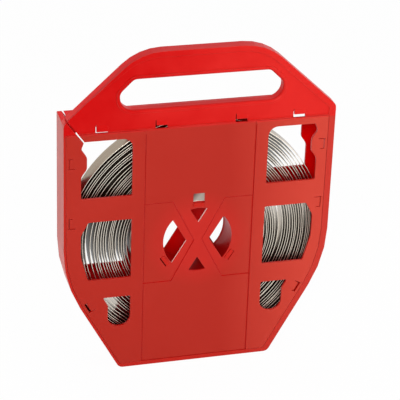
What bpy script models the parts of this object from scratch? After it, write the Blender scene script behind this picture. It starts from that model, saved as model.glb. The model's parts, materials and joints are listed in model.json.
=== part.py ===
"""Plastic carry dispenser for steel banding: a moulded case with a handle, its let-in cover and the coil.

The case stands on its flat foot with its cover facing -Y. Lengths are metres, +Z is up, and the origin
is the middle of the foot. Outlines are drawn in the XZ plane round the hub's centre.
"""

import math

import bmesh
import bpy
from mathutils import Matrix, Vector

MM = 0.001

# Case outline: upright sides, an arc round the hub, straight slopes and a narrow foot
CASE_HALF_WIDTH = 151.5 * MM
CASE_DEPTH = 39.0 * MM
FOOT_DROP = 4.0 * MM
HUB_HEIGHT = CASE_HALF_WIDTH + FOOT_DROP
CASE_TOP_RISE = CASE_HALF_WIDTH + 0.5 * MM
CASE_SLOPE = math.radians(28.6)
FOOT_CORNER_RADIUS = 8.0 * MM
SHOULDER_RADIUS = 8.0 * MM
CASE_WALL = 3.0 * MM
CASE_EDGE_ROUNDING = 1.2 * MM
RIM_WIDTH = 5.0 * MM

# Handle, which rises from the front of the case
HANDLE_DEPTH = 14.0 * MM
HANDLE_HEIGHT = 77.0 * MM
HANDLE_TOP_RISE = CASE_TOP_RISE + HANDLE_HEIGHT
HANDLE_SLOPE = math.radians(43.0)
HANDLE_CORNER_RADIUS = 62.0 * MM
HANDLE_EDGE_ROUNDING = 1.4 * MM
HANDLE_WALL = 3.0 * MM
HANDLE_RIM_WIDTH = 6.5 * MM
HANDLE_RECESS = 1.2 * MM
HANDLE_RIB_SPACING = CASE_HALF_WIDTH / 5
HANDLE_RIB_THICKNESS = 1.8 * MM
GRIP_SIDE = 61.3 * MM
GRIP_HALF_WIDTH = CASE_HALF_WIDTH - GRIP_SIDE
GRIP_BOTTOM_RISE = CASE_TOP_RISE + 11.5 * MM
GRIP_HEIGHT = 35.1 * MM
GRIP_CHAMFER = 15.2 * MM
GRIP_LOWER_RADIUS = 15.0 * MM
GRIP_UPPER_RADIUS = 9.0 * MM
GRIP_ROUNDING = 3.0 * MM
GRIP_LIP_WIDTH = 4.2 * MM

# Cover, let in flush inside the rim of the case
COVER_THICKNESS = 3.0 * MM
COVER_TOP_DROP = 12.0 * MM
COVER_TOP_RISE = CASE_TOP_RISE - COVER_TOP_DROP
FIT_GAP = 0.3 * MM
SEAM_GAP = 0.6 * MM
COVER_SHIFT = -2.4 * MM
PANEL_SHARE = 0.4
PANEL_HALF_WIDTH = CASE_HALF_WIDTH * PANEL_SHARE
PANEL_RECESS = 0.9 * MM
BRACE_RECESS = 0.5 * MM
PANEL_STEP = 1.0 * MM
GROOVE_WIDTH = 1.1 * MM
GROOVE_DEPTH = 0.7 * MM
BRACE_FIELD_HALF_HEIGHT = 49.5 * MM
BRACE_FIELD_INNER = 28.5 * MM
BRACE_FIELD_VERTEX = 3.5 * MM

# Windows, the same in cover and rear wall: inner edge, side column and the three heights round the hub
WINDOW_SHARE = 0.5
WINDOW_INNER = CASE_HALF_WIDTH * WINDOW_SHARE
SIDE_COLUMN = 19.1 * MM
WINDOW_OUTER = CASE_HALF_WIDTH - SIDE_COLUMN
WINDOW_CORNER_RADIUS = 1.5 * MM
UPPER_WINDOW_BOTTOM = CASE_HALF_WIDTH * 0.412
UPPER_WINDOW_TOP = CASE_TOP_RISE - 20.8 * MM
UPPER_WINDOW_RADIUS = 11.0 * MM
LOBE_REACH = 6.4 * MM
LOBE_RISE = UPPER_WINDOW_TOP - 25.2 * MM
LOBE_HALF_HEIGHT = 7.0 * MM
LOBE_SHOULDER = 9.5 * MM
LOBE_RADIUS = 8.5 * MM
MIDDLE_WINDOW_BOTTOM = -CASE_HALF_WIDTH * 0.2575
MIDDLE_WINDOW_TOP = CASE_HALF_WIDTH * 0.224
MIDDLE_WINDOW_CUT = 8.4 * MM
MIDDLE_WINDOW_UPPER_CUT = 15.5 * MM
MIDDLE_WINDOW_LOWER_CUT = 31.0 * MM
MIDDLE_WINDOW_LOWER_RADIUS = 25.2 * MM
LOWER_WINDOW_BOTTOM = -CASE_HALF_WIDTH * 0.664
LOWER_WINDOW_TOP = -CASE_HALF_WIDTH * 0.412
LOWER_WINDOW_TOP_WIDTH = CASE_HALF_WIDTH * 0.21
LOWER_WINDOW_BOTTOM_WIDTH = CASE_HALF_WIDTH * 0.17
LOWER_WINDOW_RADIUS = LOWER_WINDOW_BOTTOM_WIDTH * 0.48
LOWER_WINDOW_KNEE = 10.5 * MM

# Hub: a drum, crossed at both ends by an X-shaped brace that leaves four openings
DRUM_BORE_RADIUS = 40.0 * MM
DRUM_WALL = 2.4 * MM
BRACE_LEDGE = 0.6 * MM
BRACE_ARM_HALF_WIDTH = 11.2 * MM
BRACE_ARM_ANGLE = math.radians(31.0)
HUB_HOOK_WIDTH = 12.5 * MM
HUB_HOOK_THICKNESS = 4.4 * MM
HUB_HOOK_ANGLES = (90.0, 213.0, 328.0)
HUB_SLOT_REACHES = (16.6 * MM, 6.2 * MM, 6.2 * MM)
HOOK_SINK = 0.6 * MM

# Snap catches: four along the top of the cover and three down each side
CATCH_WIDTH = 13.5 * MM
INNER_CATCH = CASE_HALF_WIDTH * 0.294
OUTER_CATCH = CASE_HALF_WIDTH * 0.726
CATCH_PLACES = (-OUTER_CATCH, -INNER_CATCH, INNER_CATCH, OUTER_CATCH)
CATCH_HEIGHT = 9.6 * MM
CATCH_SLOT_HEIGHTS = (1.2 * MM, 3.6 * MM, 3.6 * MM, 3.6 * MM)
CATCH_BLOCK_SLOPE = 1.0 * MM
CATCH_LIP_HEIGHT = 2.4 * MM
CATCH_LIP_THICKNESS = 1.4 * MM
TOP_LIP_PLACES = (-(OUTER_CATCH + INNER_CATCH) / 2, 0.0, (OUTER_CATCH + INNER_CATCH) / 2)
SIDE_LIP_REACH = 1.2 * MM
SIDE_CATCH_HEIGHT = 13.0 * MM
SIDE_CATCH_DEPTH = 10.5 * MM
SIDE_CATCH_RISES = (LOBE_RISE, MIDDLE_WINDOW_TOP)
SLOPE_CATCH_DROP = CASE_HALF_WIDTH * WINDOW_SHARE
CATCH_SLIT = 1.0 * MM
SIDE_CATCH_MARGIN = 3.0 * MM
SIDE_CATCH_TAIL = 4.5 * MM
SLOPE_CATCH_SLIT = 2.6 * MM
REAR_SHOULDER_RADIUS = 14.0 * MM

# Mouth at the upper left shoulder, where the end of the strap is drawn out
MOUTH_WIDTH = 1.6 * MM
MOUTH_LENGTH = 48.0 * MM
MOUTH_START = 3.8 * MM
MOUTH_INSET = 2.6 * MM
MOUTH_SLANT = math.radians(53.5)

# Coil of banding
STRAP_WIDTH = 19.0 * MM
COIL_BORE_RADIUS = 60.0 * MM
COIL_CLEARANCE = 0.6 * MM
BUNDLE_COUNT = 15
BUNDLE_GROOVE_DEPTH = 3.2 * MM
BUNDLE_GROOVE_SHARE = 0.55
COIL_SEGMENTS = 60

DRUM_SEGMENTS = 64
ARC_STEP = math.radians(11.0)
CUT_REACH = 5.0 * MM

COVER_FACE = -CASE_DEPTH / 2
REAR_FACE = CASE_DEPTH / 2
DRUM_RADIUS = DRUM_BORE_RADIUS + DRUM_WALL
BRACE_RADIUS = DRUM_BORE_RADIUS - BRACE_LEDGE


def clear_scene():
    """Remove whatever the open file holds."""
    for obj in list(bpy.data.objects):
        bpy.data.objects.remove(obj, do_unlink=True)


def make_collection(name):
    """Link a new collection to the scene."""
    collection = bpy.data.collections.new(name)
    bpy.context.scene.collection.children.link(collection)
    return collection


def make_material(name, colour, roughness, metallic):
    """A Principled material of one colour."""
    material = bpy.data.materials.new(name)
    material.use_nodes = True
    shader = material.node_tree.nodes["Principled BSDF"]
    shader.inputs["Base Color"].default_value = (*colour, 1.0)
    shader.inputs["Roughness"].default_value = roughness
    shader.inputs["Metallic"].default_value = metallic
    return material


def inset(corners, amount):
    """Move an outline inwards (or outwards, if negative); corners are (x, z, radius), anticlockwise."""
    moved = []
    for index, (x, z, radius) in enumerate(corners):
        before = corners[index - 1]
        after = corners[(index + 1) % len(corners)]
        arriving = Vector((x - before[0], z - before[1])).normalized()
        leaving = Vector((after[0] - x, after[1] - z)).normalized()
        normal_in = Vector((-arriving.y, arriving.x))
        normal_out = Vector((-leaving.y, leaving.x))
        shift = (normal_in + normal_out) * (amount / (1.0 + normal_in.dot(normal_out)))
        outer_corner = arriving.cross(leaving) > 0.0
        new_radius = radius - amount if outer_corner else radius + amount
        moved.append((x + shift.x, z + shift.y, max(new_radius, 0.0) if radius > 0.0 else 0.0))
    return moved


def rounded(corners):
    """Points of an outline whose corners are arcs of the given radii."""
    points = []
    for index, (x, z, radius) in enumerate(corners):
        before = corners[index - 1]
        after = corners[(index + 1) % len(corners)]
        arriving = Vector((x - before[0], z - before[1])).normalized()
        leaving = Vector((after[0] - x, after[1] - z)).normalized()
        turn = arriving.angle_signed(leaving)
        if radius <= 0.0 or abs(turn) < 1e-4:
            points.append((x, z))
            continue
        steps = max(2, math.ceil(abs(turn) / ARC_STEP))
        start = Vector((x, z)) - arriving * (radius * math.tan(abs(turn) / 2))
        side = 1.0 if arriving.cross(leaving) > 0.0 else -1.0
        centre = start + Vector((-arriving.y, arriving.x)) * radius * side
        spoke = start - centre
        for step in range(steps + 1):
            swing = side * abs(turn) * step / steps
            cosine, sine = math.cos(swing), math.sin(swing)
            points.append((centre.x + spoke.x * cosine - spoke.y * sine,
                           centre.y + spoke.x * sine + spoke.y * cosine))
    return points


def mirrored(corners):
    """The same outline on the other side of the hub, still anticlockwise."""
    return [(-x, z, radius) for x, z, radius in reversed(corners)]


def moved_to_mesh(curve_object, collection):
    """Replace a curve object by a mesh object of the same shape, its caps welded on."""
    depsgraph = bpy.context.evaluated_depsgraph_get()
    mesh = bpy.data.meshes.new_from_object(curve_object.evaluated_get(depsgraph))
    work = bmesh.new()
    work.from_mesh(mesh)
    bmesh.ops.remove_doubles(work, verts=work.verts, dist=1e-6)
    bmesh.ops.recalc_face_normals(work, faces=work.faces)
    work.to_mesh(mesh)
    work.free()
    name = curve_object.name
    placing = curve_object.matrix_world.copy()
    bpy.data.objects.remove(curve_object, do_unlink=True)
    obj = bpy.data.objects.new(name, mesh)
    obj.matrix_world = placing
    collection.objects.link(obj)
    return obj


def plate(name, outlines, near, far, collection):
    """A flat piece standing upright: outlines in the XZ plane round the hub, from y=near to y=far."""
    curve = bpy.data.curves.new(name, "CURVE")
    curve.dimensions = "2D"
    curve.fill_mode = "BOTH"
    curve.extrude = (far - near) / 2
    for outline in outlines:
        spline = curve.splines.new("POLY")
        spline.points.add(len(outline) - 1)
        for point, (x, z) in zip(spline.points, outline):
            point.co = (x, z, 0.0, 1.0)
        spline.use_cyclic_u = True
    obj = bpy.data.objects.new(name, curve)
    obj.rotation_euler = (math.pi / 2, 0.0, 0.0)
    obj.location = (0.0, (near + far) / 2, HUB_HEIGHT)
    collection.objects.link(obj)
    bpy.context.view_layer.update()
    return moved_to_mesh(obj, collection)


def drum(name, radius, near, far, collection):
    """A plain cylinder round the hub's axis."""
    bpy.ops.mesh.primitive_cylinder_add(vertices=DRUM_SEGMENTS, radius=radius, depth=far - near,
                                        location=(0.0, (near + far) / 2, HUB_HEIGHT),
                                        rotation=(math.pi / 2, 0.0, 0.0))
    return adopt(bpy.context.object, name, collection)


def block(name, centre, size, angle, collection):
    """A box placed in the XZ plane round the hub and turned by an angle about Y."""
    bpy.ops.mesh.primitive_cube_add(size=1.0)
    obj = adopt(bpy.context.object, name, collection)
    obj.data.transform(Matrix.Diagonal((*size, 1.0)))
    obj.location = (centre[0], centre[1], centre[2] + HUB_HEIGHT)
    obj.rotation_euler = (0.0, -angle, 0.0)
    return obj


def adopt(obj, name, collection):
    """Name a primitive and put it in one collection alone."""
    obj.name = name
    obj.data.name = name
    for owner in list(obj.users_collection):
        owner.objects.unlink(obj)
    collection.objects.link(obj)
    return obj


def hide_cutter(obj):
    """Show a cutter as wire and keep it out of renders."""
    obj.display_type = "WIRE"
    obj.hide_render = True
    return obj


def combine(obj, other, operation):
    """Add one Boolean step to an object."""
    step = obj.modifiers.new(other.name, "BOOLEAN")
    step.operation = operation
    step.object = other
    step.solver = "EXACT"
    hide_cutter(other)


def cut(obj, other):
    """Take a cutter's shape away."""
    combine(obj, other, "DIFFERENCE")


def join(obj, other):
    """Fuse another shape on."""
    combine(obj, other, "UNION")


def round_edges(obj, width, segments):
    """Round the sharp edges of a plate; the shallow facets of its arcs stay as they are."""
    bevel = obj.modifiers.new("rounding", "BEVEL")
    bevel.width = width
    bevel.segments = segments
    bevel.limit_method = "ANGLE"
    bevel.angle_limit = math.radians(60.0)


def shade_round(obj):
    """Smooth shading with the real edges kept sharp."""
    obj.data.shade_smooth()
    obj.data.set_sharp_from_angle(angle=math.radians(35.0))


def case_sides():
    """Right side of the case, from the foot to the shoulder."""
    drop = HUB_HEIGHT - CASE_HALF_WIDTH * math.sin(CASE_SLOPE)
    foot = CASE_HALF_WIDTH * math.cos(CASE_SLOPE) - drop * math.tan(CASE_SLOPE)
    return [
        (foot, -HUB_HEIGHT, FOOT_CORNER_RADIUS),
        (CASE_HALF_WIDTH, -CASE_HALF_WIDTH * math.tan(CASE_SLOPE / 2), CASE_HALF_WIDTH),
    ]


def symmetric(right_side):
    """Close an outline by mirroring its right side."""
    return right_side + [(-x, z, radius) for x, z, radius in reversed(right_side)]


def case_outline(top, shoulder=CASE_EDGE_ROUNDING):
    """The box of the case up to the given rise; only its right shoulder may have a larger radius."""
    right = case_sides() + [(CASE_HALF_WIDTH, top, shoulder)]
    left = mirrored(case_sides() + [(CASE_HALF_WIDTH, top, CASE_EDGE_ROUNDING)])
    return right + left


def cover_outline(margin):
    """The cover's outline, a margin inside the seam; it sits a little to the left in the case."""
    corners = inset(case_outline(COVER_TOP_RISE + RIM_WIDTH), RIM_WIDTH)
    return [(x + COVER_SHIFT, z, radius) for x, z, radius in inset(corners, margin)]


def front_outline():
    """Case and handle together, as seen from the front."""
    handle_corner = CASE_HALF_WIDTH - (HANDLE_TOP_RISE - CASE_TOP_RISE) / math.tan(HANDLE_SLOPE)
    return symmetric(case_sides() + [
        (CASE_HALF_WIDTH, CASE_TOP_RISE, SHOULDER_RADIUS),
        (handle_corner, HANDLE_TOP_RISE, HANDLE_CORNER_RADIUS),
    ])


def grip_outline():
    """Hand hole: rounded below, cut corners above."""
    top = GRIP_BOTTOM_RISE + GRIP_HEIGHT
    return symmetric([
        (GRIP_HALF_WIDTH, GRIP_BOTTOM_RISE, GRIP_LOWER_RADIUS),
        (GRIP_HALF_WIDTH, top - GRIP_CHAMFER, GRIP_UPPER_RADIUS),
        (GRIP_HALF_WIDTH - GRIP_CHAMFER, top, GRIP_UPPER_RADIUS),
    ])


def window_outlines():
    """The three windows of the right side; the left ones mirror them."""
    small = WINDOW_CORNER_RADIUS
    upper = [
        (WINDOW_INNER, UPPER_WINDOW_BOTTOM, small),
        (WINDOW_OUTER, UPPER_WINDOW_BOTTOM, small),
        (WINDOW_OUTER, LOBE_RISE - LOBE_HALF_HEIGHT - LOBE_SHOULDER, LOBE_RADIUS),
        (WINDOW_OUTER - LOBE_REACH, LOBE_RISE - LOBE_HALF_HEIGHT, LOBE_RADIUS),
        (WINDOW_OUTER - LOBE_REACH, LOBE_RISE + LOBE_HALF_HEIGHT, LOBE_RADIUS),
        (WINDOW_OUTER, LOBE_RISE + LOBE_HALF_HEIGHT + LOBE_SHOULDER, LOBE_SHOULDER / 2),
        (WINDOW_OUTER - LOBE_REACH / 2, UPPER_WINDOW_TOP, small),
        (WINDOW_INNER, UPPER_WINDOW_TOP, UPPER_WINDOW_RADIUS),
    ]
    middle = [
        (WINDOW_INNER, MIDDLE_WINDOW_BOTTOM, small),
        (WINDOW_OUTER - MIDDLE_WINDOW_CUT, MIDDLE_WINDOW_BOTTOM, small),
        (WINDOW_OUTER, MIDDLE_WINDOW_BOTTOM + MIDDLE_WINDOW_LOWER_CUT, MIDDLE_WINDOW_LOWER_RADIUS),
        (WINDOW_OUTER, MIDDLE_WINDOW_TOP - MIDDLE_WINDOW_UPPER_CUT, MIDDLE_WINDOW_CUT),
        (WINDOW_OUTER - MIDDLE_WINDOW_CUT, MIDDLE_WINDOW_TOP, small),
        (WINDOW_INNER, MIDDLE_WINDOW_TOP, small),
    ]
    lower = [
        (WINDOW_INNER, LOWER_WINDOW_BOTTOM, LOWER_WINDOW_RADIUS),
        (WINDOW_INNER + LOWER_WINDOW_BOTTOM_WIDTH, LOWER_WINDOW_BOTTOM, LOWER_WINDOW_RADIUS),
        (WINDOW_INNER + LOWER_WINDOW_BOTTOM_WIDTH, LOWER_WINDOW_TOP - LOWER_WINDOW_KNEE, small),
        (WINDOW_INNER + LOWER_WINDOW_TOP_WIDTH, LOWER_WINDOW_TOP, small),
        (WINDOW_INNER, LOWER_WINDOW_TOP, small),
    ]
    return [upper, middle, lower]


def brace_openings():
    """Points of the four openings that the X-shaped brace leaves in the round hub."""
    half, bore = BRACE_ARM_HALF_WIDTH, BRACE_RADIUS
    sine, cosine = math.sin(BRACE_ARM_ANGLE), math.cos(BRACE_ARM_ANGLE)
    reach = math.sqrt(bore * bore - half * half)
    side_end = math.atan2(reach * cosine - half * sine, half * cosine + reach * sine)
    top_end = math.atan2(half * sine + reach * cosine, reach * sine - half * cosine)
    side = [(half / cosine, 0.0)] + brace_arc(-side_end, side_end)
    upper = [(0.0, half / sine)] + brace_arc(top_end, math.pi - top_end)
    return [side, upper, [(-x, z) for x, z in reversed(side)], [(x, -z) for x, z in reversed(upper)]]


def brace_arc(start, end):
    """Points along the round edge of the brace's openings between two angles."""
    steps = max(2, math.ceil((end - start) / (ARC_STEP / 2)))
    angles = [start + (end - start) * step / steps for step in range(steps + 1)]
    return [(BRACE_RADIUS * math.cos(angle), BRACE_RADIUS * math.sin(angle)) for angle in angles]


def opening_cutter(collection):
    """Windows and hub openings, through cover and rear wall alike."""
    outlines = brace_openings()
    for corners in window_outlines():
        outlines += [rounded(corners), rounded(mirrored(corners))]
    return plate("openings_cutter", outlines, COVER_FACE - CUT_REACH, REAR_FACE + CUT_REACH, collection)


def brace_fields():
    """Two shallow bow-tie fields beside the brace; each starts and ends at the panel's edge."""
    side = [
        (PANEL_HALF_WIDTH, BRACE_FIELD_HALF_HEIGHT),
        (BRACE_FIELD_INNER, BRACE_FIELD_HALF_HEIGHT),
        (BRACE_FIELD_VERTEX, 0.0),
        (BRACE_FIELD_INNER, -BRACE_FIELD_HALF_HEIGHT),
        (PANEL_HALF_WIDTH, -BRACE_FIELD_HALF_HEIGHT),
    ]
    right = [(x + PANEL_STEP, z) for x, z in side]
    left = [(-x, z) for x, z in reversed(right)]
    return [right, left]


def panel_cutters(face, outward, bottom, top, prefix, collection):
    """The centre panel's recess and the two deeper fields beside the brace, on a face at y=face."""
    def slab(name, outline, depth):
        ends = sorted((face + outward * CUT_REACH, face - outward * depth))
        return plate(f"{prefix}_{name}_cutter", [outline], ends[0], ends[1], collection)

    half = PANEL_HALF_WIDTH + PANEL_STEP
    strip = [(-half, bottom), (half, bottom), (half, top), (-half, top)]
    cutters = [slab("panel", strip, PANEL_RECESS)]
    for number, outline in enumerate(brace_fields(), 1):
        cutters.append(slab(f"field_{number}", outline, PANEL_RECESS + BRACE_RECESS))
    return cutters


def groove_cutters(collection):
    """Narrow grooves in the cover along the inner edges of both fields and both edges of the panel."""
    depth = PANEL_RECESS + BRACE_RECESS + GROOVE_DEPTH
    far = COVER_FACE + depth
    near = COVER_FACE - CUT_REACH
    grooves = []
    for number, field in enumerate(brace_fields(), 1):
        corners = [(x, z, 0.0) for x, z in field]
        outer, inner = ([(x, z) for x, z, _ in inset(corners, amount)]
                        for amount in (-GROOVE_WIDTH / 2, GROOVE_WIDTH / 2))
        band = outer + inner[::-1]
        grooves.append(plate(f"field_groove_{number}_cutter", [band], near, far, collection))
    height = COVER_TOP_RISE + HUB_HEIGHT - 2 * RIM_WIDTH
    size = (GROOVE_WIDTH, far - near, height)
    for side in (-1, 1):
        centre = (side * (PANEL_HALF_WIDTH + PANEL_STEP), (near + far) / 2, (COVER_TOP_RISE - HUB_HEIGHT) / 2)
        grooves.append(block(f"panel_groove_{side}_cutter", centre, size, 0.0, collection))
    return grooves


def grip_cutter(collection):
    """Hand hole through the handle, its edges rounded by flaring both ends of the cutter."""
    back = COVER_FACE + HANDLE_DEPTH
    outermost = math.radians(60.0)
    front_rings = []
    for bend in (outermost, outermost / 2, 0.0):
        depth = GRIP_ROUNDING * (1.0 - math.sin(bend))
        front_rings.append((COVER_FACE + depth, GRIP_ROUNDING * (1.0 - math.cos(bend))))
    first_y, first_flare = front_rings[0]
    outside_y = COVER_FACE - GRIP_ROUNDING
    outside_flare = first_flare + (first_y - outside_y) * math.tan(outermost)
    front_rings = [(outside_y, outside_flare)] + front_rings
    rings = front_rings + [(back + COVER_FACE - y, flare) for y, flare in reversed(front_rings)]
    work = bmesh.new()
    loops = []
    for y, flare in rings:
        outline = rounded(inset(grip_outline(), -flare))
        loops.append([work.verts.new((x, y, z + HUB_HEIGHT)) for x, z in outline])
    count = len(loops[0])
    for lower, upper in zip(loops, loops[1:]):
        for index in range(count):
            follow = (index + 1) % count
            work.faces.new((lower[index], lower[follow], upper[follow], upper[index]))
    work.faces.new(loops[0])
    work.faces.new(loops[-1])
    bmesh.ops.recalc_face_normals(work, faces=work.faces)
    mesh = bpy.data.meshes.new("grip_cutter")
    work.to_mesh(mesh)
    work.free()
    obj = bpy.data.objects.new("grip_cutter", mesh)
    collection.objects.link(obj)
    return obj


def handle_hollow(collection):
    """Open back of the handle, crossed by ribs."""
    outline = [(x, z, radius) for x, z, radius in front_outline() if z >= CASE_TOP_RISE]
    hollow = rounded(inset(outline, HANDLE_WALL))
    island = rounded(inset(grip_outline(), -(HANDLE_WALL + GRIP_ROUNDING)))
    near = COVER_FACE + HANDLE_WALL + HANDLE_RECESS
    far = COVER_FACE + HANDLE_DEPTH + CUT_REACH
    obj = plate("handle_hollow_cutter", [hollow, island], near, far, collection)
    count = int(CASE_HALF_WIDTH / HANDLE_RIB_SPACING)
    top = HANDLE_TOP_RISE + CUT_REACH
    for number in range(-count, count + 1):
        centre = (number * HANDLE_RIB_SPACING, (near + far) / 2, (CASE_TOP_RISE + top) / 2)
        size = (HANDLE_RIB_THICKNESS, far - near + CUT_REACH, top - CASE_TOP_RISE + CUT_REACH)
        cut(obj, block(f"handle_rib_{number + count + 1}", centre, size, 0.0, collection))
    return obj


def handle_recess(collection):
    """Shallow recess of the handle's face, inside its rim and round the lip of the hand hole."""
    bottom = COVER_TOP_RISE + HANDLE_RECESS
    outer = [(x, z, radius) for x, z, radius in front_outline() if z >= CASE_TOP_RISE]
    outer = inset(outer, HANDLE_RIM_WIDTH)
    seam = CASE_HALF_WIDTH - RIM_WIDTH + COVER_SHIFT
    drop_right = (seam, bottom, 0.0)
    turn_right = (seam, outer[0][1] + (outer[0][0] - seam) * math.tan(HANDLE_SLOPE), 0.0)
    mouth_x = MOUTH_INSET - WINDOW_OUTER - (bottom - UPPER_WINDOW_TOP) / math.tan(MOUTH_SLANT)
    drop_left = (mouth_x, bottom, 0.0)
    slant = (drop_left[0] - (outer[-1][1] - bottom) / math.tan(MOUTH_SLANT), outer[-1][1], 0.0)
    outline = rounded([drop_left, drop_right, turn_right] + outer[1:-1] + [slant])
    island = rounded(inset(grip_outline(), -GRIP_LIP_WIDTH))
    return plate("handle_recess_cutter", [outline, island], COVER_FACE - CUT_REACH,
                 COVER_FACE + HANDLE_RECESS, collection)


def mouth_cutter(collection):
    """Slanting slot from the upper left window through the shoulder, for the end of the strap."""
    middle = MOUTH_LENGTH / 2 - MOUTH_START
    centre_x = MOUTH_INSET - WINDOW_OUTER - math.cos(MOUTH_SLANT) * middle
    centre_z = UPPER_WINDOW_TOP + math.sin(MOUTH_SLANT) * middle
    size = (MOUTH_LENGTH, CASE_DEPTH + 2 * CUT_REACH, MOUTH_WIDTH)
    return block("mouth_cutter", (centre_x, 0.0, centre_z), size, math.pi - MOUTH_SLANT, collection)


def radial(angle_degrees, distance):
    """A point round the hub."""
    angle = math.radians(angle_degrees)
    return distance * math.cos(angle), distance * math.sin(angle)


def side_catch_places():
    """Middle of each side catch on the cover's edge with the direction that points outwards."""
    edge = CASE_HALF_WIDTH - RIM_WIDTH
    places = [(edge, rise, 0.0) for rise in SIDE_CATCH_RISES]
    along = (SLOPE_CATCH_DROP - edge * math.sin(CASE_SLOPE)) / math.cos(CASE_SLOPE)
    slope_x = edge * math.cos(CASE_SLOPE) - along * math.sin(CASE_SLOPE)
    places.append((slope_x, -SLOPE_CATCH_DROP, -CASE_SLOPE))
    places += [(-x, z, math.pi - angle) for x, z, angle in places]
    return [(x + COVER_SHIFT, z, angle) for x, z, angle in places]


def rear_shell(collection, cutters, openings, mouth):
    """Case body: tray with hub drum, rim round the cover's seat, and the handle."""
    shell = plate("rear_shell", [rounded(front_outline())], COVER_FACE, COVER_FACE + HANDLE_DEPTH, collection)
    round_edges(shell, HANDLE_EDGE_ROUNDING, 3)
    overlap = HANDLE_EDGE_ROUNDING + CASE_WALL
    tray_outline = case_outline(CASE_TOP_RISE, REAR_SHOULDER_RADIUS)
    tray = plate("tray", [rounded(tray_outline)], COVER_FACE + HANDLE_DEPTH - overlap, REAR_FACE, cutters)
    round_edges(tray, CASE_EDGE_ROUNDING, 2)
    join(shell, tray)
    inside = rounded(inset(tray_outline, CASE_WALL))
    cut(shell, plate("inside_cutter", [inside], COVER_FACE + CASE_WALL, REAR_FACE - CASE_WALL, cutters))
    seat = rounded(cover_outline(-SEAM_GAP / 2))
    cut(shell, plate("cover_seat_cutter", [seat], COVER_FACE - CUT_REACH,
                     COVER_FACE + CASE_WALL + FIT_GAP, cutters))
    drum_front = COVER_FACE + COVER_THICKNESS + FIT_GAP
    join(shell, drum("hub_drum", DRUM_RADIUS, drum_front, REAR_FACE - CASE_WALL / 2, cutters))
    for number, angle in enumerate(HUB_HOOK_ANGLES, 1):
        x, z = radial(angle, DRUM_RADIUS + HUB_HOOK_THICKNESS / 2 - DRUM_WALL / 2)
        far = drum_front + STRAP_WIDTH
        centre = (x, (COVER_FACE + HOOK_SINK + far) / 2, z)
        size = (HUB_HOOK_THICKNESS, far - COVER_FACE - HOOK_SINK, HUB_HOOK_WIDTH)
        join(shell, block(f"hub_hook_{number}", centre, size, math.radians(angle), cutters))
    cut(shell, drum("bore_cutter", DRUM_BORE_RADIUS, COVER_FACE - CUT_REACH, REAR_FACE - CASE_WALL, cutters))
    cut(shell, openings)
    cut(shell, grip_cutter(cutters))
    cut(shell, handle_hollow(cutters))
    cut(shell, handle_recess(cutters))
    cut(shell, mouth)
    slot_bottom = COVER_TOP_RISE + SEAM_GAP / 2
    for number, (place, gap) in enumerate(zip(CATCH_PLACES, CATCH_SLOT_HEIGHTS), 1):
        add_top_catch(shell, number, place, slot_bottom, gap, cutters)
    for number, (x, z, angle) in enumerate(side_catch_places(), 1):
        if x < 0.0:
            cut(shell, lip_pocket(f"side_lip_{number}_pocket_cutter", x, z, angle, cutters))
    bottom = -HUB_HEIGHT + CASE_WALL
    for cutter in panel_cutters(REAR_FACE, 1.0, bottom, UPPER_WINDOW_TOP, "rear", cutters):
        cut(shell, cutter)
    return shell


def add_top_catch(shell, number, place, slot_bottom, gap, cutters):
    """A slot through the front wall over the cover, with a sloping catch block above it and a slit beside."""
    through = 2 * (CASE_WALL + FIT_GAP)
    slot_centre = (place, COVER_FACE, slot_bottom + (gap - CUT_REACH) / 2)
    cut(shell, block(f"catch_slot_{number}_cutter", slot_centre, (CATCH_WIDTH, through, gap + CUT_REACH),
                     0.0, cutters))
    slit_centre = (place - (CATCH_WIDTH - CATCH_SLIT) / 2, COVER_FACE, slot_bottom + CATCH_HEIGHT / 2)
    cut(shell, block(f"catch_slit_{number}_cutter", slit_centre, (CATCH_SLIT, through, CATCH_HEIGHT), 0.0,
                     cutters))
    near = COVER_FACE + HANDLE_RECESS - CATCH_BLOCK_SLOPE
    far = COVER_FACE + CASE_WALL - FIT_GAP
    centre = (place + CATCH_SLIT / 2, (near + far) / 2, slot_bottom + (gap + CATCH_HEIGHT) / 2)
    size = (CATCH_WIDTH - CATCH_SLIT, far - near, CATCH_HEIGHT - gap)
    ramp = block(f"catch_block_{number}", centre, size, 0.0, cutters)
    for vertex in ramp.data.vertices:
        if vertex.co.z > 0.0 and vertex.co.y < 0.0:
            vertex.co.y += CATCH_BLOCK_SLOPE + FIT_GAP
    join(shell, ramp)


def lip_pocket(name, x, z, angle, cutters):
    """Pocket in the side wall, behind the rim, for the lip of one side catch."""
    reach = SIDE_LIP_REACH + FIT_GAP
    width = SIDE_CATCH_HEIGHT - 2 * CATCH_SLIT + 2 * FIT_GAP
    near = COVER_FACE + COVER_THICKNESS + FIT_GAP / 2
    far = COVER_FACE + COVER_THICKNESS + 2 * FIT_GAP + CATCH_LIP_THICKNESS
    middle = (reach - CATCH_LIP_HEIGHT) / 2
    centre = (x + math.cos(angle) * middle, (near + far) / 2, z + math.sin(angle) * middle)
    return block(name, centre, (reach + CATCH_LIP_HEIGHT, far - near, width), angle, cutters)


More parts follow.
